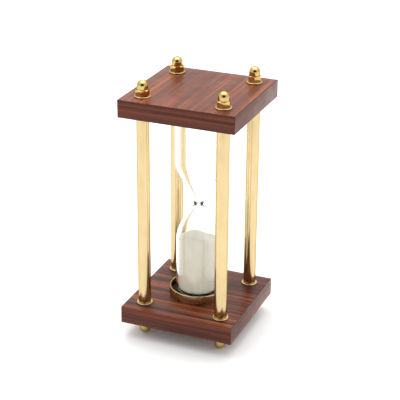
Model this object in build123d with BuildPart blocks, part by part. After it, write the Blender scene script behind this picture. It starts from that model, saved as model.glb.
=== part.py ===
from build123d import *
import os
from math import cos, radians, sin, sqrt

# Hourglass: a sealed glass vial of sand standing in two brass cup rings, between two square
# wooden plates that four brass pillars hold apart. A threaded rod runs through each pillar and
# both plates, and a cap nut on a washer closes it at each end. The lower cap nuts are the feet.
# +Z is up, the front is -Y, and the origin is on the axis at the level of the feet's tips.

# ---------------------------------------------------------------- driving sizes, millimetres
# End plates
plate_side = 80.0
plate_thickness = 12.0
plate_edge_round = 0.4
plate_corner_round = 0.5
plate_gap = 136.0

# Pillars: brass tubes on a square pitch
pillar_pitch = 55.5
pillar_outer = 8.5
pillar_end_chamfer = 0.3

# Threaded rods, M5, with their threads left plain
rod_diameter = 5.0
rod_reach = 6.0
rod_tip_chamfer = 0.6

# Washers
washer_outer = 11.0
washer_thickness = 1.0
washer_edge_round = 0.35

# Cap nuts, M5
nut_across_flats = 8.0
nut_hex_height = 4.0
nut_height = 10.0
nut_corner_chamfer = 0.45
dome_diameter = 7.3
dome_tip_flat = 1.6
nut_bore_spare = 0.6

# Cup rings, let into the plates
ring_outer = 39.0
ring_wall = 1.0
ring_height = 6.5
ring_seat_depth = 1.5
ring_rim_round = 0.3

# Pads between the plates and the glass
pad_thickness = 2.5

# Glass vial
glass_wall = 1.4
end_wall = 1.4
heel_round = 4.0
cavity_heel_round = 2.6
lower_bulb_radius = 15.1
upper_bulb_radius = 16.0
lower_shoulder_height = 26.0
lower_shoulder_pull = 9.3
lower_funnel_pull = 6.0
lower_funnel_angle = 38.0
upper_shoulder_height = 30.0
upper_shoulder_pull = 7.0
upper_funnel_pull = 19.0
upper_funnel_angle = 28.0
neck_radius = 3.0
neck_height = 1.4
bead_radius = 3.5
orifice_radius = 0.8

# Sand, all of it in the lower bulb
sand_edge_level = 43.0
sand_crown = 5.0

# Clearances
rod_clearance = 0.25
pillar_rod_clearance = 0.5
thread_clearance = 0.05
seat_clearance = 0.05
pad_clearance = 0.5
vial_end_gap = 0.2
sand_clearance = 0.1

# Corners of the plates: name, which side of the axis in X and in Y, and how far the two nuts
# there are turned
corners = [
    ("front_left", -1, -1, 38.0, 12.0),
    ("front_right", 1, -1, 46.0, 27.0),
    ("back_right", 1, 1, 50.0, 5.0),
    ("back_left", -1, 1, 37.0, 41.0),
]

# ---------------------------------------------------------------- levels, all from the above
foot_level = nut_height + washer_thickness
lower_plate_top = foot_level + plate_thickness
upper_plate_bottom = lower_plate_top + plate_gap
upper_plate_top = upper_plate_bottom + plate_thickness
middle_level = lower_plate_top + plate_gap / 2
rod_bottom = foot_level - washer_thickness - rod_reach
rod_top = upper_plate_top + washer_thickness + rod_reach
vial_length = plate_gap - 2 * (pad_thickness + vial_end_gap)
bulb_length = vial_length / 2
sand_edge = lower_plate_top + sand_edge_level


def save(piece, name):
    """Label a finished piece and write it to its own file."""
    piece.part.label = name
    export_step(piece.part, f"parts/{name}.step")


def at_corner(side_x, side_y, level):
    """A horizontal plane at a given level, centred on one pillar's axis."""
    return Plane((side_x * pillar_pitch / 2, side_y * pillar_pitch / 2, level))


def from_base(level):
    """A plane at a given level on the main axis that faces up."""
    return Plane((0, 0, level))


def from_top(level):
    """A plane at a given level on the main axis that faces down, with X the same way."""
    return Plane((0, 0, level), x_dir=(1, 0, 0), z_dir=(0, 0, -1))


os.makedirs("parts", exist_ok=True)

# ---------------------------------------------------------------- end plates
# Both plates are one shape. Each is drawn from its outer face, so that the ring's groove comes
# out on the face that looks at the vial.


def make_plate(outer_face):
    """A square plate with four rod holes and the ring's groove in its inner face."""
    with BuildPart() as plate:
        with BuildSketch(outer_face):
            RectangleRounded(plate_side, plate_side, plate_corner_round)
        extrude(amount=plate_thickness)
        broad_faces = plate.faces().filter_by(Axis.Z)
        fillet(broad_faces.edges(), radius=plate_edge_round)
        with BuildSketch(outer_face):
            with GridLocations(pillar_pitch, pillar_pitch, 2, 2):
                Circle(rod_diameter / 2 + rod_clearance)
        extrude(amount=plate_thickness, mode=Mode.SUBTRACT)
        with BuildSketch(outer_face.offset(plate_thickness - ring_seat_depth)):
            Circle(ring_outer / 2 + seat_clearance)
            Circle(ring_outer / 2 - ring_wall - seat_clearance, mode=Mode.SUBTRACT)
        extrude(amount=ring_seat_depth, mode=Mode.SUBTRACT)
    return plate


save(make_plate(from_base(foot_level)), "lower_plate")
save(make_plate(from_top(upper_plate_top)), "upper_plate")


# ---------------------------------------------------------------- cup rings and pads
def make_ring(inner_face):
    """A plain brass ring let into a plate, its rim towards the vial."""
    with BuildPart() as ring:
        with BuildSketch(inner_face.offset(-ring_seat_depth)):
            Circle(ring_outer / 2)
            Circle(ring_outer / 2 - ring_wall, mode=Mode.SUBTRACT)
        extrude(amount=ring_seat_depth + ring_height)
        rim = ring.faces().sort_by(Axis((0, 0, 0), inner_face.z_dir))[-1]
        fillet(rim.edges(), radius=ring_rim_round)
    return ring


def make_pad(inner_face):
    """A soft disc that lies on the plate inside the ring."""
    with BuildPart() as pad:
        with BuildSketch(inner_face):
            Circle(ring_outer / 2 - ring_wall - pad_clearance)
        extrude(amount=pad_thickness)
    return pad


save(make_ring(from_base(lower_plate_top)), "lower_ring")
save(make_ring(from_top(upper_plate_bottom)), "upper_ring")
save(make_pad(from_base(lower_plate_top)), "lower_pad")
save(make_pad(from_top(upper_plate_bottom)), "upper_pad")


# ---------------------------------------------------------------- what stands at each corner
def make_washer(seat):
    """A round washer with soft outer edges, standing on a plane."""
    with BuildPart() as washer:
        with BuildSketch(seat):
            Circle(washer_outer / 2)
        extrude(amount=washer_thickness)
        fillet(washer.edges().filter_by(GeomType.CIRCLE), radius=washer_edge_round)
        with BuildSketch(seat):
            Circle(rod_diameter / 2 + rod_clearance)
        extrude(amount=washer_thickness, mode=Mode.SUBTRACT)
    return washer


def make_pillar(seat):
    """A brass tube between the two inner washers."""
    with BuildPart() as pillar:
        with BuildSketch(seat):
            Circle(pillar_outer / 2)
        extrude(amount=plate_gap - 2 * washer_thickness)
        chamfer(pillar.edges().filter_by(GeomType.CIRCLE), length=pillar_end_chamfer)
        with BuildSketch(seat):
            Circle(rod_diameter / 2 + pillar_rod_clearance)
        extrude(amount=plate_gap - 2 * washer_thickness, mode=Mode.SUBTRACT)
    return pillar


def make_rod(seat):
    """The rod inside a pillar, from one cap nut's bore to the other's."""
    with BuildPart() as rod:
        with BuildSketch(seat):
            Circle(rod_diameter / 2)
        extrude(amount=rod_top - rod_bottom)
        chamfer(rod.edges().filter_by(GeomType.CIRCLE), length=rod_tip_chamfer)
    return rod


def make_cap_nut(seat, turn):
    """A cap nut on a seat: chamfered hexagon, domed cap with a small flat tip, blind bore."""
    across_corners = nut_across_flats / cos(radians(30))
    dome_radius = dome_diameter / 2
    dome_centre = nut_height - sqrt(dome_radius**2 - (dome_tip_flat / 2) ** 2)
    axis = Axis(seat.origin, seat.z_dir)
    with BuildPart() as nut:
        with BuildSketch(seat):
            RegularPolygon(across_corners / 2, 6, rotation=turn)
        extrude(amount=nut_hex_height)
        # A cone takes the hexagon's upper corners off
        with BuildSketch(Plane(seat.origin, x_dir=seat.x_dir, z_dir=-seat.y_dir)):
            with BuildLine():
                Polyline(
                    (0, 0),
                    (across_corners / 2, 0),
                    (across_corners / 2, nut_hex_height - nut_corner_chamfer),
                    (across_corners / 2 - 2 * nut_corner_chamfer, nut_hex_height),
                    (0, nut_hex_height),
                    close=True,
                )
            make_face()
        revolve(axis=axis, mode=Mode.INTERSECT)
        # The cap: a round barrel under a ball end that is cut off flat at its tip
        with BuildSketch(Plane(seat.origin, x_dir=seat.x_dir, z_dir=-seat.y_dir)):
            with BuildLine():
                Polyline((dome_tip_flat / 2, nut_height), (0, nut_height), (0, 0), (dome_radius, 0))
                Line((dome_radius, 0), (dome_radius, dome_centre))
                RadiusArc(
                    (dome_radius, dome_centre),
                    (dome_tip_flat / 2, nut_height),
                    -dome_radius,
                )
            make_face()
        revolve(axis=axis)
        with BuildSketch(seat):
            Circle(rod_diameter / 2 + thread_clearance)
        extrude(amount=rod_reach + nut_bore_spare, mode=Mode.SUBTRACT)
    return nut


for corner, side_x, side_y, top_turn, foot_turn in corners:
    under_plate = at_corner(side_x, side_y, foot_level)
    on_lower_plate = at_corner(side_x, side_y, lower_plate_top)
    under_upper_plate = at_corner(side_x, side_y, upper_plate_bottom - washer_thickness)
    on_upper_plate = at_corner(side_x, side_y, upper_plate_top)
    foot_seat = Plane(under_plate.origin, x_dir=(1, 0, 0), z_dir=(0, 0, -1))

    save(make_washer(foot_seat), f"foot_washer_{corner}")
    save(make_washer(on_lower_plate), f"pillar_base_washer_{corner}")
    save(make_washer(under_upper_plate), f"pillar_head_washer_{corner}")
    save(make_washer(on_upper_plate), f"top_washer_{corner}")
    save(make_pillar(on_lower_plate.offset(washer_thickness)), f"pillar_{corner}")
    save(make_rod(at_corner(side_x, side_y, rod_bottom)), f"rod_{corner}")
    save(make_cap_nut(foot_seat.offset(washer_thickness), foot_turn), f"foot_nut_{corner}")
    save(make_cap_nut(on_upper_plate.offset(washer_thickness), top_turn), f"top_nut_{corner}")


# ---------------------------------------------------------------- glass vial
# Each surface of the vial is given by how far it runs inside the outer one, at the side and at
# the ends, by the rounding of its heel, and by its radius at the neck.
outer_surface = (0, 0, heel_round, neck_radius)
cavity_surface = (glass_wall, end_wall, cavity_heel_round, orifice_radius)
sand_surface = (glass_wall + sand_clearance, end_wall + sand_clearance, cavity_heel_round, 0)

# Each bulb is given by its radius and by how far from the neck it still has it, by how far its
# curve runs on straight at the shoulder and at the neck, and by the funnel's angle at the neck.
lower_bulb = (
    lower_bulb_radius,
    lower_shoulder_height,
    lower_shoulder_pull,
    lower_funnel_pull,
    radians(lower_funnel_angle),
)
upper_bulb = (
    upper_bulb_radius,
    upper_shoulder_height,
    upper_shoulder_pull,
    upper_funnel_pull,
    radians(upper_funnel_angle),
)


# Half outlines are drawn on the XZ plane, X away from the axis. A bulb is drawn by its distance
# from the middle of the neck, and side says which way that runs.
def bulb_outline(side, surface, bulb):
    """Half outline of one surface of one bulb, from the axis at its foot to the neck."""

    def point(out, along):
        return (out, middle_level + side * along)

    inset, end_inset, heel, end_radius = surface
    radius, shoulder, shoulder_pull, funnel_pull, angle = bulb
    full = radius - inset
    end = bulb_length - end_inset
    heel_corner = heel * (1 - cos(radians(45)))
    Line(point(0, end), point(full - heel, end))
    ThreePointArc(
        point(full - heel, end),
        point(full - heel_corner, end - heel_corner),
        point(full, end - heel),
    )
    Line(point(full, end - heel), point(full, shoulder))
    Bezier(
        point(full, shoulder),
        point(full, shoulder - shoulder_pull),
        point(end_radius + funnel_pull * sin(angle), neck_height + funnel_pull * cos(angle)),
        point(end_radius, neck_height),
    )


with BuildPart() as glass_vial:
    with BuildSketch(Plane.XZ):
        with BuildLine():
            bulb_outline(-1, outer_surface, lower_bulb)
            ThreePointArc(
                (neck_radius, middle_level - neck_height),
                (bead_radius, middle_level),
                (neck_radius, middle_level + neck_height),
            )
            bulb_outline(1, outer_surface, upper_bulb)
            Line((0, middle_level + bulb_length), (0, middle_level - bulb_length))
        make_face()
        with BuildLine():
            bulb_outline(-1, cavity_surface, lower_bulb)
            Line(
                (orifice_radius, middle_level - neck_height),
                (orifice_radius, middle_level + neck_height),
            )
            bulb_outline(1, cavity_surface, upper_bulb)
            Line(
                (0, middle_level + bulb_length - end_wall),
                (0, middle_level - bulb_length + end_wall),
            )
        make_face(mode=Mode.SUBTRACT)
    revolve(axis=Axis.Z)
save(glass_vial, "glass_vial")

# ---------------------------------------------------------------- sand
sand_radius = lower_bulb_radius - glass_wall - sand_clearance
sand_bottom = middle_level - bulb_length + end_wall + sand_clearance

with BuildPart() as sand:
    with BuildSketch(Plane.XZ):
        with BuildLine():
            bulb_outline(-1, sand_surface, lower_bulb)
            Line((0, middle_level - neck_height), (0, sand_bottom))
        make_face()
        # What lies under the mound's surface
        with BuildLine():
            Bezier(
                (0, sand_edge + sand_crown),
                (sand_radius / 2, sand_edge + sand_crown),
                (sand_radius, sand_edge),
            )
            Polyline(
                (sand_radius, sand_edge),
                (sand_radius, foot_level),
                (0, foot_level),
                (0, sand_edge + sand_crown),
            )
        make_face(mode=Mode.INTERSECT)
    revolve(axis=Axis.Z)
save(sand, "sand")
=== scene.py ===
"""Hourglass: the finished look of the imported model, built in its own frame.

Each sub-assembly is a class that holds its sizes, models its pieces and dresses them.
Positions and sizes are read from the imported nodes; lengths are in metres.
"""

import logging
from collections.abc import Sequence
from dataclasses import dataclass, field
from enum import Enum
from math import atan2, cos, hypot, pi, radians, sin

import bpy
from mathutils import Matrix, Vector


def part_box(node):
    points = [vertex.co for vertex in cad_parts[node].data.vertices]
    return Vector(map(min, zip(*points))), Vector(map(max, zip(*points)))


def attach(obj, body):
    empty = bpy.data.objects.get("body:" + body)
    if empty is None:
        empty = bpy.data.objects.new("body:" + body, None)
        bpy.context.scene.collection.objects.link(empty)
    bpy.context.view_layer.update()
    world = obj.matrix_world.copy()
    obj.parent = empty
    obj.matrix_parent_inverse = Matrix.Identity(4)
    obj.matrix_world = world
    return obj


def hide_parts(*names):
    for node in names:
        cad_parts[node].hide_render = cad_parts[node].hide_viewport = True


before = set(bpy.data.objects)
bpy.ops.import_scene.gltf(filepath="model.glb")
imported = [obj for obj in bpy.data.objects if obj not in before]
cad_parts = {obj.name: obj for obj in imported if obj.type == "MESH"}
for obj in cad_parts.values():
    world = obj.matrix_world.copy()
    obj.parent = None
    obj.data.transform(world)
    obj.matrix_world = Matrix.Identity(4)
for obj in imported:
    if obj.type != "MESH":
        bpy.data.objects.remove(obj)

LOG = logging.getLogger("hourglass")
MM = 0.001
STAND = "stand"
VIAL = "vial"
CORNERS = ("front_left", "front_right", "back_right", "back_left")

# How a turned piece is closed at its poles
POLE_RADIUS = 0.001 * MM
WELD_DISTANCE = 0.004 * MM

# How many stretches the curves of a turned outline have
EASE_STEPS = 3
WASHER_STEPS = 4
HEEL_STEPS = 10
FUNNEL_STEPS = 34
THROAT_STEPS = 10
BEAD_STEPS = 16
DOME_STEPS = 18

# How many sides the round pieces have
HOLE_SIDES = 48
WASHER_SIDES = 72
TUBE_SIDES = 96
DOME_SIDES = 96
GROOVE_SIDES = 128
SAND_SIDES = 128
CHAMFER_SIDES = 144
RING_SIDES = 160
GLASS_SIDES = 160

Outline = list[tuple[float, float]]
Colour = tuple[float, float, float]
Point = tuple[float, float, float]
Socket = bpy.types.NodeSocket
Material = bpy.types.Material
Piece = bpy.types.Object


def srgb(*shades: int) -> Colour:
    """Turn a display colour into the linear values that shaders take.

    Args:
        *shades: Red, green and blue, from 0 to 255.

    Returns:
        The same colour as three linear values.
    """
    linear = [
        c / 12.92 if c <= 0.04045 else ((c + 0.055) / 1.055) ** 2.4
        for c in (shade / 255 for shade in shades)
    ]
    return (linear[0], linear[1], linear[2])


# ---------------- shader building
class Nodes:
    """A node tree, with short ways to add the nodes that finishes and the sky use."""

    def __init__(self, tree: bpy.types.NodeTree) -> None:
        """Keep the tree that is built in."""
        self.tree = tree

    def add(self, kind: str, **settings: object) -> bpy.types.Node:
        """Add one node.

        Args:
            kind: The node's type name.
            **settings: Properties of the node, such as operation.

        Returns:
            The new node.
        """
        node = self.tree.nodes.new(kind)
        for key, value in settings.items():
            setattr(node, key, value)
        return node

    def feed(self, socket: Socket, value: object) -> None:
        """Feed an input.

        Args:
            socket: The input.
            value: Another node's output, or a constant.
        """
        if isinstance(value, Socket):
            self.tree.links.new(value, socket)
        else:
            socket.default_value = value

    def fill(self, node: bpy.types.Node, **values: object) -> None:
        """Feed the inputs of a node by name.

        Args:
            node: The node.
            **values: Names with spaces written as underscores, and outputs or constants.
        """
        for key, value in values.items():
            self.feed(node.inputs[key.replace("_", " ")], value)

    def remap(self, value: Socket, low: float, high: float, start: float, end: float) -> Socket:
        """Map a value smoothly from one range to another, clamped.

        Args:
            value: The value to map.
            low: The value that gives start.
            high: The value that gives end.
            start: The result at low.
            end: The result at high.

        Returns:
            The result.
        """
        node = self.add("ShaderNodeMapRange", interpolation_type="SMOOTHSTEP")
        self.fill(node, From_Min=low, From_Max=high, To_Min=start, To_Max=end, Value=value)
        return node.outputs["Result"]

    def maths(self, operation: str, *values: Socket | float) -> Socket:
        """Combine values.

        Args:
            operation: The operation's name, such as MULTIPLY.
            *values: Sockets or numbers, in the operation's order.

        Returns:
            The result.
        """
        node = self.add("ShaderNodeMath", operation=operation)
        for socket, value in zip(node.inputs, values):
            self.feed(socket, value)
        return node.outputs["Value"]


class Recipe(Nodes):
    """A material with a principled shader and the patterns that feed it."""

    def __init__(self, name: str) -> None:
        """Start a material that holds the shader and its output.

        Args:
            name: The material's name.
        """
        self.material = bpy.data.materials.new(name)
        self.material.use_nodes = True
        super().__init__(self.material.node_tree)
        self.tree.nodes.clear()
        self.shader = self.add("ShaderNodeBsdfPrincipled")
        self.fill(self.add("ShaderNodeOutputMaterial"), Surface=self.shader.outputs["BSDF"])

    def set(self, **values: object) -> None:
        """Feed the principled shader's inputs by name."""
        self.fill(self.shader, **values)

    def place(self, scale: Sequence[float], shift: Sequence[float] = (0, 0, 0)) -> Socket:
        """Give object coordinates, scaled and shifted.

        Args:
            scale: Cycles per metre along each axis.
            shift: Shift of the pattern, in pattern units.

        Returns:
            The coordinates.
        """
        mapping = self.add("ShaderNodeMapping")
        spot = self.add("ShaderNodeTexCoord").outputs["Object"]
        self.fill(mapping, Scale=scale, Location=shift, Vector=spot)
        return mapping.outputs["Vector"]

    def noise(
        self,
        scale: Sequence[float],
        shift: Sequence[float] = (0, 0, 0),
        detail: float = 2.0,
        roughness: float = 0.5,
        distortion: float = 0.0,
    ) -> Socket:
        """Sample fractal noise.

        Args:
            scale: Cycles per metre along each axis.
            shift: Shift of the pattern, in pattern units.
            detail: How many finer layers it has.
            roughness: How strong the finer layers are.
            distortion: How much it is warped.

        Returns:
            The value, about 0.5 on average.
        """
        node = self.add("ShaderNodeTexNoise")
        self.fill(node, Vector=self.place(scale, shift), Scale=1.0)
        self.fill(node, Detail=detail, Roughness=roughness, Distortion=distortion)
        return node.outputs["Fac"]

    def ramp(self, value: Socket, stops: Sequence[tuple[float, Colour]]) -> Socket:
        """Turn a value into a colour.

        Args:
            value: The value to read.
            stops: Positions from 0 to 1, each with its colour.

        Returns:
            The colour.
        """
        node = self.add("ShaderNodeValToRGB")
        elements = node.color_ramp.elements
        while len(elements) < len(stops):
            elements.new(0.5)
        for element, (position, colour) in zip(elements, stops):
            element.position = position
            element.color = (*colour, 1.0)
        self.fill(node, Fac=value)
        return node.outputs["Color"]

    def blend(self, share: Socket, first: Socket | Colour, second: Colour) -> Socket:
        """Mix two colours.

        Args:
            share: How much of the second colour shows.
            first: The first colour.
            second: The second colour.

        Returns:
            The mixed colour.
        """
        node = self.add("ShaderNodeMix", data_type="RGBA")
        if not isinstance(first, Socket):
            first = (*first, 1.0)
        self.feed(node.inputs["Factor"], share)
        self.feed(node.inputs[6], first)
        self.feed(node.inputs[7], (*second, 1.0))
        return node.outputs[2]

    def bump(self, height: Socket, distance: float, strength: float) -> None:
        """Raise the surface by a height pattern.

        Args:
            height: The pattern.
            distance: Its full height, in metres.
            strength: How much of it is used.
        """
        node = self.add("ShaderNodeBump")
        self.fill(node, Distance=distance, Strength=strength, Height=height)
        self.set(Normal=node.outputs["Normal"])


# ---------------- finishes
class Along(Enum):
    """The way the veneer's grain runs."""

    X = "x"
    Y = "y"


@dataclass(frozen=True)
class Finish:
    """What every finish has.

    Attributes:
        name: The material's name.
    """

    name: str

    def make(self) -> Material:
        """Build the material.

        Returns:
            The material.
        """
        recipe = Recipe(self.name)
        self.mix(recipe)
        return recipe.material

    def mix(self, recipe: Recipe) -> None:
        """Feed the material's shader."""
        raise NotImplementedError


@dataclass(frozen=True)
class Veneer(Finish):
    """Lacquered rosewood veneer with dark streaks along its grain.

    Attributes:
        along: The way the grain runs.
        seed: Shift of the figure, so that no two faces are alike.
        depth: How dark the figure is, from 0 to 1.
        shade: How far the ground colour is shifted towards its dark end; on the edge veneers this
            is painted shade.
    """

    along: Along
    seed: float
    depth: float = 0.5
    shade: float = 0.0

    def mix(self, recipe: Recipe) -> None:
        """Feed the material's shader."""

        def grain(across: float, along: float, shift: float, *look: float) -> Socket:
            """Sample noise that is drawn out along the grain; look is its detail and so on."""
            scale = (along, across, across) if self.along is Along.X else (across, along, across)
            place = (self.seed + shift, self.seed * 1.7 - shift, shift)
            return recipe.noise(scale, place, *look)

        drift = grain(14, 9, 3.1, 1.0)
        figure = grain(80 + 120 * self.depth, 2.5, 0.0, 2.0, 0.6, 0.1)
        streaks = grain(480, 4, 5.3, 3.0, 0.65, 0.08)
        threads = grain(1250, 9, 8.9, 2.0, 0.6)
        pores = grain(2600, 160, 2.2, 1.0)

        tone = recipe.maths("MULTIPLY", figure, 0.35)
        tone = recipe.maths("ADD", tone, recipe.maths("MULTIPLY", drift, 0.25))
        tone = recipe.maths("ADD", tone, recipe.maths("MULTIPLY", streaks, 0.40))
        # Painted shade: the ground colour is pushed darker on the edges that face away from the
        # light.
        tone = recipe.maths("SUBTRACT", tone, self.shade)
        base = recipe.ramp(
            tone,
            [
                (0.38, srgb(112, 52, 30)),
                (0.46, srgb(150, 76, 43)),
                (0.54, srgb(176, 100, 58)),
                (0.64, srgb(198, 124, 76)),
            ],
        )
        dark = recipe.remap(streaks, 0.46, 0.55, 0.0, 0.6 + 0.3 * self.depth)
        colour = recipe.blend(dark, base, srgb(56, 28, 21))
        bands = recipe.remap(figure, 0.57 - 0.05 * self.depth, 0.64, 0.0, 0.3 + 0.55 * self.depth)
        colour = recipe.blend(bands, colour, srgb(46, 28, 27))
        fine = recipe.remap(threads, 0.44, 0.54, 0.0, 0.6)
        colour = recipe.blend(fine, colour, srgb(72, 36, 28))
        pits = recipe.remap(pores, 0.63, 0.72, 0.0, 1.0)
        colour = recipe.blend(recipe.maths("MULTIPLY", pits, 0.7), colour, srgb(38, 18, 15))
        wear = recipe.noise((90, 90, 90), (4.0, 1.0, self.seed), detail=3.0)
        recipe.set(Base_Color=colour, Roughness=recipe.remap(wear, 0.3, 0.7, 0.30, 0.42))
        relief = recipe.maths("SUBTRACT", recipe.maths("MULTIPLY", threads, 0.4), pits)
        recipe.bump(relief, 0.00004, 0.6)
        recipe.set(Coat_Weight=0.03, Coat_Roughness=0.2, Specular_IOR_Level=0.2)


@dataclass(frozen=True)
class Brass(Finish):
    """Lacquered brass, drawn or turned.

    Attributes:
        tint: Its colour.
        roughness: Its least and greatest roughness.
        grain: Cycles per metre of the tool marks along each axis.
        mark: Depth of the tool marks, in metres.
    """

    tint: Colour
    roughness: tuple[float, float]
    grain: tuple[float, float, float]
    mark: float

    def mix(self, recipe: Recipe) -> None:
        """Feed the material's shader."""
        lines = recipe.noise(self.grain, (3.0, 7.0, 1.0))
        cloud = recipe.noise((160, 160, 60), (1.0, 5.0, 9.0), detail=3.0)
        tarnish = recipe.remap(cloud, 0.45, 0.75, 0.0, 0.28)
        warm = (self.tint[0] * 0.82, self.tint[1] * 0.70, self.tint[2] * 0.52)
        mixed = recipe.maths("MULTIPLY", recipe.maths("ADD", lines, cloud), 0.5)
        recipe.set(
            Base_Color=recipe.blend(tarnish, self.tint, warm),
            Roughness=recipe.remap(mixed, 0.35, 0.65, *self.roughness),
            Metallic=1.0,
            Specular_Tint=(*warm, 1.0),
        )
        recipe.bump(lines, self.mark, 0.5)


@dataclass(frozen=True)
class Glass(Finish):
    """Clear lamp-blown glass."""

    name: str = "vial_glass"

    def mix(self, recipe: Recipe) -> None:
        """Feed the material's shader."""
        ripple = recipe.noise((45, 45, 30), (2.0, 6.0, 4.0), detail=1.0)
        recipe.bump(ripple, 0.00012, 0.35)
        smear = recipe.noise((120, 120, 60), (8.0, 3.0, 5.0), detail=3.0)
        recipe.set(Roughness=recipe.remap(smear, 0.55, 0.8, 0.0, 0.02))
        recipe.set(Base_Color=(0.985, 0.992, 0.988, 1.0), Transmission_Weight=1.0, IOR=1.48)


@dataclass(frozen=True)
class Grains(Finish):
    """Fine pale sand."""

    name: str = "pale_sand"

    def mix(self, recipe: Recipe) -> None:
        """Feed the material's shader."""
        grain = recipe.add("ShaderNodeTexVoronoi")
        recipe.fill(grain, Scale=1.0, Vector=recipe.place((3600, 3600, 3600)))
        cloud = recipe.noise((120, 120, 40), (2.0, 1.0, 6.0), detail=3.0)
        falls = recipe.noise((420, 420, 22), (5.0, 4.0, 1.0))
        tone = recipe.maths("MULTIPLY", cloud, 0.8)
        tone = recipe.maths("ADD", tone, recipe.maths("MULTIPLY", falls, 0.2))
        base = recipe.ramp(
            tone,
            [(0.35, srgb(247, 238, 216)), (0.52, srgb(254, 248, 232)), (0.68, srgb(255, 253, 244))],
        )
        speck = recipe.remap(grain.outputs["Distance"], 0.0, 0.9, 0.0, 0.10)
        recipe.bump(grain.outputs["Distance"], 0.00012, 0.7)
        recipe.set(Base_Color=recipe.blend(speck, base, srgb(176, 160, 130)))
        recipe.set(Roughness=0.95, Specular_IOR_Level=0.3)


@dataclass(frozen=True)
class Felt(Finish):
    """Dark pressed felt."""

    name: str = "felt"

    def mix(self, recipe: Recipe) -> None:
        """Feed the material's shader."""
        fibres = recipe.noise((2200, 2200, 2200), detail=4.0, roughness=0.7)
        tufts = recipe.noise((260, 260, 260), (3.0, 3.0, 3.0))
        colour = recipe.ramp(fibres, [(0.3, srgb(34, 27, 14)), (0.7, srgb(66, 54, 32))])
        recipe.bump(recipe.maths("ADD", fibres, tufts), 0.0001, 0.5)
        recipe.set(Base_Color=colour, Roughness=0.95, Sheen_Weight=0.04, Specular_IOR_Level=0.15)


@dataclass(frozen=True)
class Steel(Finish):
    """Plain zinc-bright steel of the rods."""

    name: str = "rod_steel"

    def mix(self, recipe: Recipe) -> None:
        """Feed the material's shader."""
        cloud = recipe.noise((300, 300, 80), detail=3.0)
        colour = recipe.ramp(cloud, [(0.3, srgb(140, 142, 145)), (0.7, srgb(190, 192, 194))])
        rough = recipe.remap(cloud, 0.3, 0.7, 0.28, 0.45)
        recipe.bump(cloud, 0.00002, 0.4)
        recipe.set(Base_Color=colour, Roughness=rough, Metallic=1.0)


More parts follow.
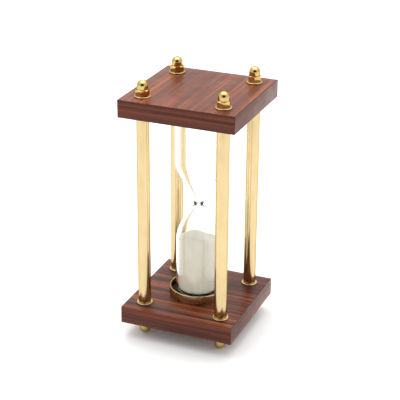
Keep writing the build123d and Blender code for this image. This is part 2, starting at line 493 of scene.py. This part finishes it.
# ---------------- modelling
class Bench:
    """The hand tools that every piece is modelled with."""

    @staticmethod
    def clear() -> None:
        """Leave edit mode and deselect everything."""
        if bpy.context.object is not None and bpy.context.object.mode != "OBJECT":
            bpy.ops.object.mode_set(mode="OBJECT")
        bpy.ops.object.select_all(action="DESELECT")

    @staticmethod
    def pick(piece: Piece) -> None:
        """Select one object alone and make it active."""
        Bench.clear()
        piece.select_set(True)
        bpy.context.view_layer.objects.active = piece

    @staticmethod
    def take(name: str) -> Piece:
        """Name the active object and its mesh, and return the object."""
        bpy.context.object.name = bpy.context.object.data.name = name
        return bpy.context.object

    @staticmethod
    def settle(piece: Piece) -> None:
        """Put a piece's place, turn and scale into its mesh."""
        Bench.pick(piece)
        bpy.ops.object.transform_apply(location=True, rotation=True, scale=True)

    @staticmethod
    def smooth(piece: Piece, angle: float = 35.0) -> None:
        """Shade a piece smooth, except over edges sharper than an angle in degrees."""
        Bench.pick(piece)
        bpy.ops.object.shade_smooth_by_angle(angle=radians(angle))

    @staticmethod
    def turn(name: str, outline: Outline, centre: Sequence[float], sides: int) -> Piece:
        """Turn a round piece, ring by ring, as on a lathe.

        Args:
            name: The piece's name.
            outline: Radius and height of each ring, in order. A radius of 0 is a pole, and
                a tube ends where it starts.
            centre: Where the axis stands.
            sides: How many sides a ring has.

        Returns:
            The new object, with its faces pointing outwards.
        """
        x, y = centre[0], centre[1]
        radius, height = max(outline[0][0], POLE_RADIUS), outline[0][1]
        Bench.clear()
        bpy.ops.mesh.primitive_circle_add(
            vertices=sides, radius=radius, fill_type="NOTHING", location=(x, y, height)
        )
        piece = Bench.take(name)
        Bench.settle(piece)
        bpy.ops.object.mode_set(mode="EDIT")
        bpy.ops.mesh.select_mode(type="EDGE")
        bpy.ops.mesh.select_all(action="SELECT")
        for next_radius, next_height in outline[1:]:
            next_radius = max(next_radius, POLE_RADIUS)
            move = (0, 0, next_height - height)
            bpy.ops.mesh.extrude_edges_move(TRANSFORM_OT_translate={"value": move})
            growth = next_radius / radius
            if abs(growth - 1) > 1e-9:
                bpy.ops.transform.resize(
                    value=(growth, growth, 1), center_override=(x, y, next_height)
                )
            radius, height = next_radius, next_height
        bpy.ops.mesh.select_all(action="SELECT")
        bpy.ops.mesh.remove_doubles(threshold=WELD_DISTANCE)
        bpy.ops.mesh.normals_make_consistent(inside=False)
        bpy.ops.object.mode_set(mode="OBJECT")
        return piece

    @staticmethod
    def modify(piece: Piece, kind: str, **settings: object) -> None:
        """Apply one modifier.

        Args:
            piece: The piece.
            kind: The modifier's type.
            **settings: Its properties.
        """
        Bench.pick(piece)
        tool = piece.modifiers.new(kind, kind)
        for key, value in settings.items():
            setattr(tool, key, value)
        bpy.ops.object.modifier_apply(modifier=tool.name)

    @staticmethod
    def combine(piece: Piece, other: Piece, operation: str) -> None:
        """Cut, join or intersect a piece with a tool, and remove the tool."""
        Bench.modify(piece, "BOOLEAN", operation=operation, solver="EXACT", object=other)
        bpy.data.objects.remove(other)

    @staticmethod
    def drill(piece: Piece, radius: float, bottom: float, top: float, at: Sequence[float]) -> None:
        """Drill an upright round hole.

        Args:
            piece: The piece.
            radius: The hole's radius.
            bottom: Height of its lower end.
            top: Height of its upper end.
            at: Where its axis stands.
        """
        outline = [(0, bottom), (radius, bottom), (radius, top), (0, top)]
        Bench.combine(piece, Bench.turn("tool", outline, at, HOLE_SIDES), "DIFFERENCE")

    @staticmethod
    def bevel(piece: Piece, width: float, segments: int, angle: float) -> None:
        """Round off a piece's sharp edges.

        Args:
            piece: The piece.
            width: Width of the rounding, in metres.
            segments: How many strips it has.
            angle: The least angle that counts as sharp, in degrees.
        """
        limit = {"limit_method": "ANGLE", "angle_limit": radians(angle)}
        Bench.modify(piece, "BEVEL", width=width, segments=segments, **limit)

    @staticmethod
    def copy(piece: Piece, name: str, move: Sequence[float], turn: Matrix) -> Piece:
        """Copy a piece with a mesh of its own.

        Args:
            piece: The pattern, modelled at the origin.
            name: The copy's name.
            move: Where the copy's origin goes.
            turn: How it is turned about that origin.

        Returns:
            The copy, with its place in its mesh.
        """
        Bench.pick(piece)
        bpy.ops.object.duplicate()
        made = Bench.take(name)
        made.matrix_world = Matrix.Translation(Vector(move)) @ turn.to_4x4()
        Bench.settle(made)
        return made


def dress(piece: Piece, material: Material, node: str, body: str = STAND) -> None:
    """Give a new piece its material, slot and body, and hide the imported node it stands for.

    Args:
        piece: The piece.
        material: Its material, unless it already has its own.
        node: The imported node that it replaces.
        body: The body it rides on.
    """
    if not piece.data.materials:
        piece.data.materials.append(material)
    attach(piece, body)
    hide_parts(node)
    LOG.info("%s: %d faces, for %s", piece.name, len(piece.data.polygons), node)


def paint_node(node: str, material: Material) -> None:
    """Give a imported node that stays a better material.

    Args:
        node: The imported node.
        material: Its new material.
    """
    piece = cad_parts[node]
    piece.data.materials.clear()
    piece.data.materials.append(material)
    LOG.info("%s: kept, in %s", node, material.name)


def middle(node: str) -> Vector:
    """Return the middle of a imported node's box."""
    low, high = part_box(node)
    return (low + high) / 2


def half_width(node: str) -> float:
    """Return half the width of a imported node's box."""
    low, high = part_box(node)
    return (high.x - low.x) / 2


def rounded(outline: Outline, radius: float, steps: int = EASE_STEPS) -> Outline:
    """Round the corners of a closed outline.

    Args:
        outline: The corners, in order.
        radius: The rounding's size, in metres.
        steps: How many points each corner gets, less one.

    Returns:
        The rounded outline.
    """
    points: Outline = []
    count = len(outline)
    for i, corner in enumerate(outline):
        here = Vector((*corner, 0))
        before = Vector((*outline[i - 1], 0)) - here
        after = Vector((*outline[(i + 1) % count], 0)) - here
        reach = min(radius, before.length * 0.45, after.length * 0.45)
        start = here + before.normalized() * reach
        end = here + after.normalized() * reach
        for k in range(steps + 1):
            t = k / steps
            p = start * (1 - t) ** 2 + here * (2 * t * (1 - t)) + end * t**2
            points.append((p.x, p.y))
    return points


def bezier(points: Sequence[tuple[float, float]], steps: int) -> Outline:
    """Sample a Bezier curve of three or four control points.

    Args:
        points: The control points.
        steps: How many stretches it is divided into.

    Returns:
        The points along it, without the first.
    """
    samples: Outline = []
    for k in range(1, steps + 1):
        t = k / steps
        level = [Vector(p) for p in points]
        while len(level) > 1:
            level = [a.lerp(b, t) for a, b in zip(level, level[1:])]
        samples.append((level[0].x, level[0].y))
    return samples


def sleeve(
    node: str, name: str, bore: float, ease: float, sides: int, steps: int = EASE_STEPS
) -> Piece:
    """Turn a ring, tube or washer with eased edges in the place of a packed one.

    Args:
        node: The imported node.
        name: The piece's name.
        bore: Radius of its hole.
        ease: Rounding of its edges.
        sides: How many sides it has.
        steps: How many stretches the rounding has.

    Returns:
        The piece.
    """
    low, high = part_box(node)
    outer = half_width(node)
    section = [(bore, low.z), (outer, low.z), (outer, high.z), (bore, high.z)]
    outline = rounded(section, ease, steps)
    piece = Bench.turn(name, [*outline, outline[0]], middle(node), sides)
    Bench.smooth(piece, 50)
    return piece


# ---------------- sub-assemblies
@dataclass
class Plates:
    """The two wooden end plates.

    Attributes:
        corner_round: Rounding of the upright corners.
        edge_round: Rounding of the edges of the broad faces.
        hole_radius: Radius of the rod holes.
        seat_clearance: Room round a ring in its groove.
        seat_width: Width of that groove.
        run_on: How far a drill runs on past each face.
        face_share: Least share of a normal along an axis on a face that isn't an eased edge.
    """

    corner_round: float = 0.45 * MM
    edge_round: float = 0.35 * MM
    hole_radius: float = 2.75 * MM
    seat_clearance: float = 0.05 * MM
    seat_width: float = 1.1 * MM
    run_on: float = 1.0 * MM
    face_share: float = 0.97

    def build(self) -> None:
        """Model and dress both plates."""
        self.face(self.make("lower_plate"), "lower_plate", Along.X, 2.3, 1.0)
        self.face(self.make("upper_plate"), "upper_plate", Along.Y, 5.9, 0.2)

    def make(self, node: str) -> Piece:
        """Model one plate.

        Args:
            node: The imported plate.

        Returns:
            The plate, without its veneer.
        """
        low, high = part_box(node)
        size = high - low
        Bench.clear()
        bpy.ops.mesh.primitive_cube_add(size=1, location=(low + high) / 2, scale=size)
        plate = Bench.take(f"{node}_veneered")
        Bench.settle(plate)
        self.round_corners(plate)
        Bench.bevel(plate, self.edge_round, 3, 60)
        for corner in CORNERS:
            ends = (low.z - self.run_on, high.z + self.run_on)
            Bench.drill(plate, self.hole_radius, *ends, middle(f"rod_{corner}"))
        self.cut_groove(plate, node.replace("plate", "ring"))
        Bench.smooth(plate)
        return plate

    def round_corners(self, plate: Piece) -> None:
        """Bevel the four upright edges.

        Args:
            plate: The plate, still a plain board.
        """
        Bench.pick(plate)
        bpy.ops.object.mode_set(mode="EDIT")
        bpy.ops.mesh.select_mode(type="EDGE")
        bpy.ops.mesh.select_all(action="DESELECT")
        bpy.ops.object.mode_set(mode="OBJECT")
        for edge in plate.data.edges:
            a, b = (plate.data.vertices[i].co for i in edge.vertices)
            edge.select = abs(a.z - b.z) > MM
        bpy.ops.object.mode_set(mode="EDIT")
        bpy.ops.mesh.bevel(offset=self.corner_round, segments=4, affect="EDGES")
        bpy.ops.object.mode_set(mode="OBJECT")

    def cut_groove(self, plate: Piece, ring: str) -> None:
        """Cut the groove that a ring stands in.

        Args:
            plate: The plate.
            ring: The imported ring.
        """
        low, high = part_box(ring)
        outer = half_width(ring) + self.seat_clearance
        inner = outer - self.seat_width
        section = [(inner, low.z), (outer, low.z), (outer, high.z), (inner, high.z), (inner, low.z)]
        tool = Bench.turn("tool", section, middle(ring), GROOVE_SIDES)
        Bench.combine(plate, tool, "DIFFERENCE")

    def face(self, plate: Piece, node: str, broad: Along, seed: float, depth: float) -> None:
        """Lay the veneer on the broad faces, each pair of edges and the eased edges.

        Args:
            plate: The plate.
            node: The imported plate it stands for.
            broad: The way the grain runs on the broad faces.
            seed: Shift of its figure.
            depth: How dark its figure is.
        """
        # Painted shade: the front edges face the dim side and get the deepest figure and a darker
        # ground;
        # the side edges are a little darker, and the eased edges darker still, as painted dark
        # outlines.
        veneers = [
            Veneer(f"{node}_face", broad, seed, depth),
            Veneer(f"{node}_front_edge", Along.X, seed + 11.3, 1.0, 0.13),
            Veneer(f"{node}_side_edge", Along.Y, seed + 23.9, depth, 0.05),
            Veneer(f"{node}_eased_edge", broad, seed + 31.7, 1.0, 0.25),
        ]
        for veneer in veneers:
            plate.data.materials.append(veneer.make())
        for polygon in plate.data.polygons:
            across, out, up = (abs(c) for c in polygon.normal)
            main = max(across, out, up)
            eased = main < self.face_share
            polygon.material_index = 3 if eased else (up, out, across).index(main)
        dress(plate, plate.data.materials[0], node)


@dataclass
class CupRings:
    """The brass rings that the vial stands in, and the finish of the pads inside them.

    Attributes:
        wall: Thickness of a ring.
        rim_round: Rounding of its edges.
    """

    wall: float = 1.0 * MM
    rim_round: float = 0.4 * MM

    def build(self) -> None:
        """Model and dress both rings and paint the pads."""
        brass = Brass("ring_brass", srgb(190, 168, 128), (0.16, 0.30), (60, 60, 2600), 2e-6).make()
        felt = Felt().make()
        for end in ("lower", "upper"):
            node = f"{end}_ring"
            bore = half_width(node) - self.wall
            ring = sleeve(node, f"{end}_cup_ring", bore, self.rim_round, RING_SIDES)
            dress(ring, brass, node)
            paint_node(f"{end}_pad", felt)


@dataclass
class Pillars:
    """The brass pillars, their washers and the rods inside them.

    Attributes:
        wall: Thickness of the tube.
        end_ease: Rounding of the tube's ends.
        washer_bore: Radius of a washer's hole.
        washer_round: Rounding of a washer's edges.
    """

    wall: float = 1.25 * MM
    end_ease: float = 0.3 * MM
    washer_bore: float = 2.75 * MM
    washer_round: float = 0.42 * MM

    def build(self) -> None:
        """Model and dress the pillars and washers and paint the rods."""
        drawn = Brass("drawn_brass", srgb(216, 194, 147), (0.13, 0.24), (1700, 1700, 14), 1.5e-6)
        rolled = Brass("washer_brass", srgb(212, 194, 156), (0.18, 0.30), (700, 700, 700), 2e-6)
        tube_brass, washer_brass, steel = drawn.make(), rolled.make(), Steel().make()
        for corner in CORNERS:
            node = f"pillar_{corner}"
            bore = half_width(node) - self.wall
            tube = sleeve(node, f"{node}_tube", bore, self.end_ease, TUBE_SIDES)
            dress(tube, tube_brass, node)
            for place in ("foot", "pillar_base", "pillar_head", "top"):
                self.washer(f"{place}_washer_{corner}", washer_brass)
            paint_node(f"rod_{corner}", steel)

    def washer(self, node: str, brass: Material) -> None:
        """Model and dress one washer."""
        edges = (self.washer_bore, self.washer_round, WASHER_SIDES, WASHER_STEPS)
        dress(sleeve(node, f"{node}_disc", *edges), brass, node)


@dataclass
class CapNuts:
    """The cap nuts on top and the same nuts below, which are the feet.

    Attributes:
        across_flats: Width of the hexagon.
        hexagon_height: Height of the hexagon.
        corner_chamfer: Half of how far in its corners are turned off.
        chamfer_slope: How far down they are turned off, in corner_chamfers.
        dome_radius: Radius of the cap.
        dome_waist: Radius of the cap where it leaves the hexagon, as a share of dome_radius.
        tip_flat: Radius of the flat on the cap's tip.
        bore: Radius of the threaded bore.
        bore_depth: Depth of the bore.
        ease: Rounding of the edges.
        tip_gap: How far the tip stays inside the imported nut.
    """

    across_flats: float = 8.0 * MM
    hexagon_height: float = 4.0 * MM
    corner_chamfer: float = 0.45 * MM
    chamfer_slope: float = 1.35
    dome_radius: float = 3.65 * MM
    dome_waist: float = 0.97
    tip_flat: float = 0.8 * MM
    bore: float = 2.55 * MM
    bore_depth: float = 6.6 * MM
    ease: float = 0.09 * MM
    tip_gap: float = 0.005 * MM

    def build(self) -> None:
        """Model one nut, then copy, turn and dress it for each place."""
        brass = Brass("nut_brass", srgb(206, 178, 116), (0.05, 0.13), (900, 900, 1500), 1e-6).make()
        pattern = self.pattern()
        for corner in CORNERS:
            for place, down in (("top", False), ("foot", True)):
                node = f"{place}_nut_{corner}"
                low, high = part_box(node)
                at = middle(node)
                at.z = high.z if down else low.z
                turn = Matrix.Rotation(self.bearing(node), 3, "Z")
                if down:
                    turn = turn @ Matrix.Rotation(pi, 3, "X")
                nut = Bench.copy(pattern, f"{node}_cap", at, turn)
                Bench.smooth(nut, 28)
                dress(nut, brass, node)
        bpy.data.objects.remove(pattern)

    def bearing(self, node: str) -> float:
        """Read which way one corner of a packed nut points.

        Args:
            node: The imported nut.

        Returns:
            The bearing, in radians.
        """
        centre = middle(node)
        far = max(
            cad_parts[node].data.vertices,
            key=lambda v: hypot(v.co.x - centre.x, v.co.y - centre.y),
        )
        return atan2(far.co.y - centre.y, far.co.x - centre.x)

    def pattern(self) -> Piece:
        """Model the nut at the origin, standing on its seat, one corner on +X.

        Returns:
            The nut.
        """
        corner = self.across_flats / 2 / cos(radians(30))
        Bench.clear()
        bpy.ops.mesh.primitive_cylinder_add(
            vertices=6,
            radius=corner,
            depth=self.hexagon_height,
            location=(0, 0, self.hexagon_height / 2),
            rotation=(0, 0, radians(30)),
        )
        nut = Bench.take("nut_pattern")
        Bench.settle(nut)
        clear = corner * 1.05
        top = self.hexagon_height
        chamfer: Outline = [
            (0, -MM),
            (clear, -MM),
            (clear, top - self.corner_chamfer * self.chamfer_slope),
            (corner - 2 * self.corner_chamfer, top),
            (corner * 0.5, top + MM),
            (0, top + MM),
        ]
        Bench.combine(nut, Bench.turn("tool", chamfer, (0, 0), CHAMFER_SIDES), "INTERSECT")
        low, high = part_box(f"top_nut_{CORNERS[0]}")
        Bench.combine(nut, self.dome(high.z - low.z - self.tip_gap), "UNION")
        Bench.drill(nut, self.bore, -MM, self.bore_depth, (0, 0))
        Bench.bevel(nut, self.ease, 2, 24)
        return nut

    def dome(self, height: float) -> Piece:
        """Turn the cap: a barrel under a ball end with a small flat.

        Args:
            height: The nut's full height.

        Returns:
            The cap, which reaches down into the hexagon.
        """
        radius = self.dome_radius
        centre = height - (radius**2 - self.tip_flat**2) ** 0.5
        waist = radius * self.dome_waist
        neck = self.hexagon_height
        swell = [(waist, neck + 0.15 * MM), (radius, neck + 0.3 * MM), (radius, neck + 0.6 * MM)]
        outline: Outline = [(0, neck / 2), (waist, neck / 2), swell[0]]
        outline += bezier(swell, 4)
        outline.append((radius, centre))
        top = pi / 2 - self.tip_flat / radius
        for k in range(1, DOME_STEPS + 1):
            angle = top * k / DOME_STEPS
            outline.append((radius * cos(angle), centre + radius * sin(angle)))
        outline.append((0, height))
        return Bench.turn("tool", outline, (0, 0), DOME_SIDES)


@dataclass(frozen=True)
class Surface:
    """One surface of the vial: its outside, its cavity or the sand's own skin.

    Attributes:
        inset: How far inside the outer surface it runs, at the side.
        end_inset: The same at the ends.
        heel: Rounding of its heel.
        end_radius: Its radius at the neck.
    """

    inset: float
    end_inset: float
    heel: float
    end_radius: float


@dataclass(frozen=True)
class Bulb:
    """The shape of one bulb, by distances from the middle of the neck.

    Attributes:
        side: 1 above the neck, -1 below it.
        radius: Its full radius.
        shoulder: How far from the neck it still has its full radius.
        shoulder_pull: How far the shoulder's curve runs on straight.
        funnel_pull: How far the funnel's curve runs on straight.
        funnel_angle: The funnel's angle to the axis at the neck, in degrees.
    """

    side: int
    radius: float
    shoulder: float
    shoulder_pull: float
    funnel_pull: float
    funnel_angle: float

    def outline(self, middle_z: float, length: float, surface: Surface, neck: float) -> Outline:
        """Give the bulb's half outline from its foot to the neck.

        Args:
            middle_z: Height of the middle of the neck.
            length: Distance from there to the bulb's foot.
            surface: Which surface it is.
            neck: Distance from the middle where the funnel ends.

        Returns:
            Radius and height of each point.
        """
        full = self.radius - surface.inset
        foot = length - surface.end_inset
        heel = surface.heel
        tilt = radians(self.funnel_angle)
        points: Outline = [(0, foot), ((full - heel) / 2, foot), (full - heel, foot)]
        for k in range(1, HEEL_STEPS + 1):
            turn = pi / 2 * k / HEEL_STEPS
            points.append((full - heel * (1 - sin(turn)), foot - heel * (1 - cos(turn))))
        points.append((full, (foot - heel + self.shoulder) / 2))
        points.append((full, self.shoulder))
        funnel = (
            surface.end_radius + self.funnel_pull * sin(tilt),
            neck + self.funnel_pull * cos(tilt),
        )
        points += bezier(
            [
                (full, self.shoulder),
                (full, self.shoulder - self.shoulder_pull),
                funnel,
                (surface.end_radius, neck),
            ],
            FUNNEL_STEPS,
        )
        return [(r, middle_z + self.side * along) for r, along in points]


LOWER_BULB = Bulb(-1, 15.1 * MM, 26 * MM, 9.3 * MM, 6 * MM, 38)
UPPER_BULB = Bulb(1, 16.0 * MM, 30 * MM, 7 * MM, 19 * MM, 28)


@dataclass(frozen=True)
class Mound:
    """The shape of the sand's surface.

    Attributes:
        crown: Height of its crest over its edge at the sides.
        bearing: Which way it is tipped up, in degrees from the front towards the right.
        tilt: How far it is tipped up, in degrees.
        crest_shift: How far its crest is to the left of the axis, as a share of its radius.
        back_fall: How fast it falls away behind the crest.
        front_fall: How much of the crown is gone at the front edge.
        right_ease: How much of the tilt is gone at the right edge.
        right_drop: How much lower it is at the right edge.
        rings: How many rings of faces it has.
    """

    crown: float = 5.0 * MM
    bearing: float = 22.0
    tilt: float = 17.0
    crest_shift: float = 0.25
    back_fall: float = 0.9
    front_fall: float = 0.75
    right_ease: float = 0.5
    right_drop: float = 1.2 * MM
    rings: int = 22

    def height(self, flat: Vector, radius: float, level: float, crest: float) -> float:
        """Give the surface's height over one point.

        Args:
            flat: The point, as a level vector from the axis.
            radius: The sand's radius.
            level: Height of its edge at the sides.
            crest: Height of its highest point.

        Returns:
            The height there.
        """
        turn = radians(self.bearing)
        front = Vector((sin(turn), -cos(turn), 0))
        side = Vector((cos(turn), sin(turn), 0))
        ahead = flat.dot(front) / radius
        across = flat.dot(side) / radius + self.crest_shift
        right = max(0.0, across)
        rise = radius * sin(radians(self.tilt))
        plain = level + rise * ahead * (1 - self.right_ease * right) - self.right_drop * right
        mound = max(0.0, 1 - across**2 - self.back_fall * max(0.0, -ahead) ** 2)
        edge = max(0.0, 1 - (flat.length / radius) ** 2)
        fall = 1 - self.front_fall * max(0.0, ahead)
        return min(plain + (crest - level) * mound * edge**0.5 * fall, crest)


@dataclass
class Vial:
    """The glass vial and the sand in its lower bulb.

    Attributes:
        outside: The vial's outer surface.
        cavity: The surface of its cavity.
        sand_skin: The surface that the sand fills it to.
        neck_height: Half the bead's height.
        bead_radius: Outer radius of the bead.
        mound: The shape of the sand's surface.
        wall_top: How far below its edge the sand's wall has its last ring.
        heel_top: How far below its edge the rings of the sand's heel end.
        middle_z: Height of the middle of the neck.
        length: Distance from there to either end.
    """

    outside: Surface = Surface(0, 0, 4.0 * MM, 3.0 * MM)
    cavity: Surface = Surface(1.4 * MM, 1.4 * MM, 2.6 * MM, 0.8 * MM)
    sand_skin: Surface = Surface(1.5 * MM, 1.5 * MM, 2.6 * MM, 0.0)
    neck_height: float = 1.4 * MM
    bead_radius: float = 3.5 * MM
    mound: Mound = Mound()
    wall_top: float = 12 * MM
    heel_top: float = 20 * MM
    middle_z: float = field(init=False)
    length: float = field(init=False)

    def __post_init__(self) -> None:
        """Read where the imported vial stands."""
        low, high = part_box("glass_vial")
        self.middle_z = (low.z + high.z) / 2
        self.length = (high.z - low.z) / 2

    def build(self) -> None:
        """Model and dress the glass and the sand. Clear glass casts no shadow on the sand."""
        glass = self.glass()
        glass.visible_shadow = False
        dress(glass, Glass().make(), "glass_vial", VIAL)
        dress(self.sand(), Grains().make(), "sand", VIAL)

    def outlines(self, surface: Surface) -> tuple[Outline, Outline]:
        """Give one surface of both bulbs.

        Args:
            surface: Which surface it is.

        Returns:
            The lower bulb's outline and the upper one's, each from its foot to the neck.
        """
        place = (self.middle_z, self.length, surface, self.neck_height)
        return LOWER_BULB.outline(*place), UPPER_BULB.outline(*place)

    def glass(self) -> Piece:
        """Turn the outer wall and the inner wall, and join them.

        Returns:
            The vial.
        """
        below, above = self.outlines(self.outside)
        outer = [*below, *self.bead(), *above[-2::-1]]
        shell = Bench.turn("vial_glass", outer, (0, 0), GLASS_SIDES)
        below, above = self.outlines(self.cavity)
        inner = [*below[:-3], *self.throat(below[-4], above[-4]), *above[-4::-1]]
        hollow = Bench.turn("hollow", inner, (0, 0), GLASS_SIDES)
        Bench.pick(hollow)
        bpy.ops.object.mode_set(mode="EDIT")
        bpy.ops.mesh.select_all(action="SELECT")
        bpy.ops.mesh.flip_normals()
        bpy.ops.object.mode_set(mode="OBJECT")
        Bench.pick(shell)
        hollow.select_set(True)
        bpy.ops.object.join()
        Bench.smooth(shell, 60)
        return shell

    def throat(self, below: tuple[float, float], above: tuple[float, float]) -> Outline:
        """Draw the orifice in one soft curve.

        Args:
            below: The last point of the lower funnel.
            above: The first point of the upper one.

        Returns:
            The points between them.
        """
        radius, height = self.cavity.end_radius, self.neck_height
        lower = [below, (radius, self.middle_z - height), (radius, self.middle_z)]
        upper = [(radius, self.middle_z), (radius, self.middle_z + height), above]
        return [*bezier(lower, THROAT_STEPS), *bezier(upper, THROAT_STEPS)[:-1]]

    def bead(self) -> Outline:
        """Draw the bead at the neck.

        Returns:
            Its outline, from below the neck to above it.
        """
        radius, height = self.outside.end_radius, self.neck_height
        bulge = radius + (self.bead_radius - radius) * 4 / 3
        return bezier(
            [
                (radius, self.middle_z - height),
                (bulge, self.middle_z - height * 0.55),
                (bulge, self.middle_z + height * 0.55),
                (radius, self.middle_z + height),
            ],
            BEAD_STEPS,
        )

    def sand(self) -> Piece:
        """Turn the settled sand, then shape its surface.

        Returns:
            The sand.
        """
        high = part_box("sand")[1]
        level = high.z - self.mound.crown
        radius = LOWER_BULB.radius - self.sand_skin.inset
        skin = self.outlines(self.sand_skin)[0]
        heel = [(r, z) for r, z in skin if z < level - self.heel_top]
        top: Outline = []
        for k in range(1, self.mound.rings + 1):
            share = k / self.mound.rings
            top.append((radius * (1 - share), level + share * MM))
        outline = [*heel, (radius, level - self.wall_top), (radius, level), *top]
        sand = Bench.turn("settled_sand", outline, (0, 0), SAND_SIDES)
        for vertex in sand.data.vertices:
            if vertex.co.z < level - 0.1 * MM:
                continue
            flat = Vector((vertex.co.x, vertex.co.y, 0))
            vertex.co.z = self.mound.height(flat, radius, level, high.z)
            share = self.skin_radius(skin, vertex.co.z) / radius
            vertex.co.x *= share
            vertex.co.y *= share
        Bench.smooth(sand, 70)
        return sand

    @staticmethod
    def skin_radius(skin: Outline, height: float) -> float:
        """Read the radius of the sand's skin at a height.

        Args:
            skin: The skin's outline.
            height: The height.

        Returns:
            The radius there.
        """
        for (r1, z1), (r2, z2) in zip(skin, skin[1:]):
            if z1 < height <= z2:
                return r1 + (r2 - r1) * (height - z1) / (z2 - z1)
        return 0.0


# ---------------- studio
@dataclass
class Studio:
    """A pale floor, soft light and the camera.

    Attributes:
        camera_at: Where the camera stands.
        camera_aim: The point it looks at.
        lens: Its focal length, in millimetres.
        roll: How far it is rolled, in degrees.
        sky_base: Brightness of the studio where no lobe is.
        sky_lobes: Bright and dark parts: direction, outer and inner half angle, brightness.
        floor_size: Side of the floor.
        floor_gap: How far the floor lies below the feet.
        floor_white: How white the floor is.
        lamp_at: Where the soft box hangs.
        lamp_aim: What it points at.
        lamp_size: Its side.
        lamp_watts: Its power.
        clear_bounces: How many times light may pass or turn inside the glass.
        gloss_bounces: How many times it may be mirrored.
    """

    camera_at: Point = (0.2920, -0.7104, 0.4275)
    camera_aim: Point = (0.0010, 0.0, 0.0930)
    lens: float = 112.05
    roll: float = 0.46
    sky_base: float = 0.95
    sky_lobes: tuple[tuple[Point, float, float, float], ...] = (
        ((0.0, 0.15, 1.0), 60, 25, 1.0),
        ((-0.35, 0.85, 0.35), 75, 40, 0.06),
        ((0.35, -0.85, 0.40), 46, 20, -0.93),
    )
    floor_size: float = 14.0
    floor_gap: float = 0.02 * MM
    floor_white: float = 0.88
    lamp_at: Point = (-0.12, 0.22, 0.95)
    lamp_aim: Point = (0, 0.02, 0.05)
    lamp_size: float = 0.7
    lamp_watts: float = 3.0
    clear_bounces: int = 32
    gloss_bounces: int = 16

    def build(self) -> None:
        """Set up the floor, the sky, the lamp and the camera."""
        self.floor()
        self.sky()
        self.lamp()
        self.camera()
        rays = bpy.context.scene.cycles
        rays.max_bounces = self.clear_bounces
        rays.transmission_bounces = self.clear_bounces
        rays.glossy_bounces = self.gloss_bounces
        settings = bpy.context.scene.view_settings
        settings.view_transform = "Standard"
        settings.look = "None"

    def floor(self) -> None:
        """Lay a large white floor at the level of the feet."""
        Bench.clear()
        bpy.ops.mesh.primitive_plane_add(size=self.floor_size, location=(0, 0, -self.floor_gap))
        floor = Bench.take("floor")
        recipe = Recipe("white_floor")
        white = (self.floor_white,) * 3
        recipe.set(Base_Color=(*white, 1.0), Roughness=0.8, Specular_IOR_Level=0.2)
        floor.data.materials.append(recipe.material)

    def sky(self) -> None:
        """Surround the object with a studio: white seen directly, graded otherwise.

        A lobe with a negative gain darkens reflections alone.
        """
        world = bpy.data.worlds.new("studio")
        world.use_nodes = True
        sky = Nodes(world.node_tree)
        background = sky.tree.nodes["Background"]
        direction = sky.add("ShaderNodeTexCoord").outputs["Generated"]
        rays = sky.add("ShaderNodeLightPath").outputs
        total: Socket | float = self.sky_base
        for towards, start, end, gain in self.sky_lobes:
            dot = sky.add("ShaderNodeVectorMath", operation="DOT_PRODUCT")
            sky.feed(dot.inputs[0], direction)
            sky.feed(dot.inputs[1], Vector(towards).normalized())
            edges = (cos(radians(start)), cos(radians(end)))
            lobe = sky.remap(dot.outputs["Value"], *edges, 0.0, 1.0)
            share = sky.maths("MULTIPLY", lobe, gain)
            if gain < 0:
                share = sky.maths("MULTIPLY", share, rays["Is Glossy Ray"])
            total = sky.maths("ADD", share, total)
        total = sky.maths("MAXIMUM", total, 0.02)
        direct = sky.maths("MAXIMUM", rays["Is Camera Ray"], rays["Is Transmission Ray"])
        graded = sky.maths("MULTIPLY", total, sky.maths("SUBTRACT", 1.0, direct))
        strength = sky.maths("ADD", graded, direct)
        sky.fill(background, Color=(1.0, 1.0, 1.0, 1.0), Strength=strength)
        bpy.context.scene.world = world

    def lamp(self) -> None:
        """Hang one square soft box overhead."""
        light = bpy.data.lights.new("overhead", "AREA")
        light.size = self.lamp_size
        light.energy = self.lamp_watts
        self.hang(light, self.lamp_at, self.lamp_aim)

    def camera(self) -> None:
        """Stand the camera at the viewing angle."""
        data = bpy.data.cameras.new("camera")
        data.lens = self.lens
        data.sensor_width = 36.0
        data.clip_start = 0.01
        bpy.context.scene.camera = self.hang(data, self.camera_at, self.camera_aim, self.roll)

    @staticmethod
    def hang(data: bpy.types.ID, at: Point, aim: Point, roll: float = 0.0) -> Piece:
        """Put a lamp or a camera in its place and point it.

        Args:
            data: The lamp or the camera.
            at: Where it goes.
            aim: What it points at.
            roll: How far it is rolled, in degrees.

        Returns:
            The object that holds it.
        """
        holder = bpy.data.objects.new(data.name, data)
        bpy.context.scene.collection.objects.link(holder)
        holder.location = at
        holder.rotation_mode = "QUATERNION"
        look = (Vector(aim) - Vector(at)).to_track_quat("-Z", "Y")
        holder.rotation_quaternion = look @ Matrix.Rotation(radians(roll), 3, "Z").to_quaternion()
        return holder


def main() -> None:
    """Build the object and its stage in order."""
    logging.basicConfig(level=logging.INFO)
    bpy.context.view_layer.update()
    for part in (Plates(), CupRings(), Pillars(), CapNuts(), Vial()):
        part.build()
    Studio().build()
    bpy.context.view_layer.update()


if __name__ == "__main__":
    main()
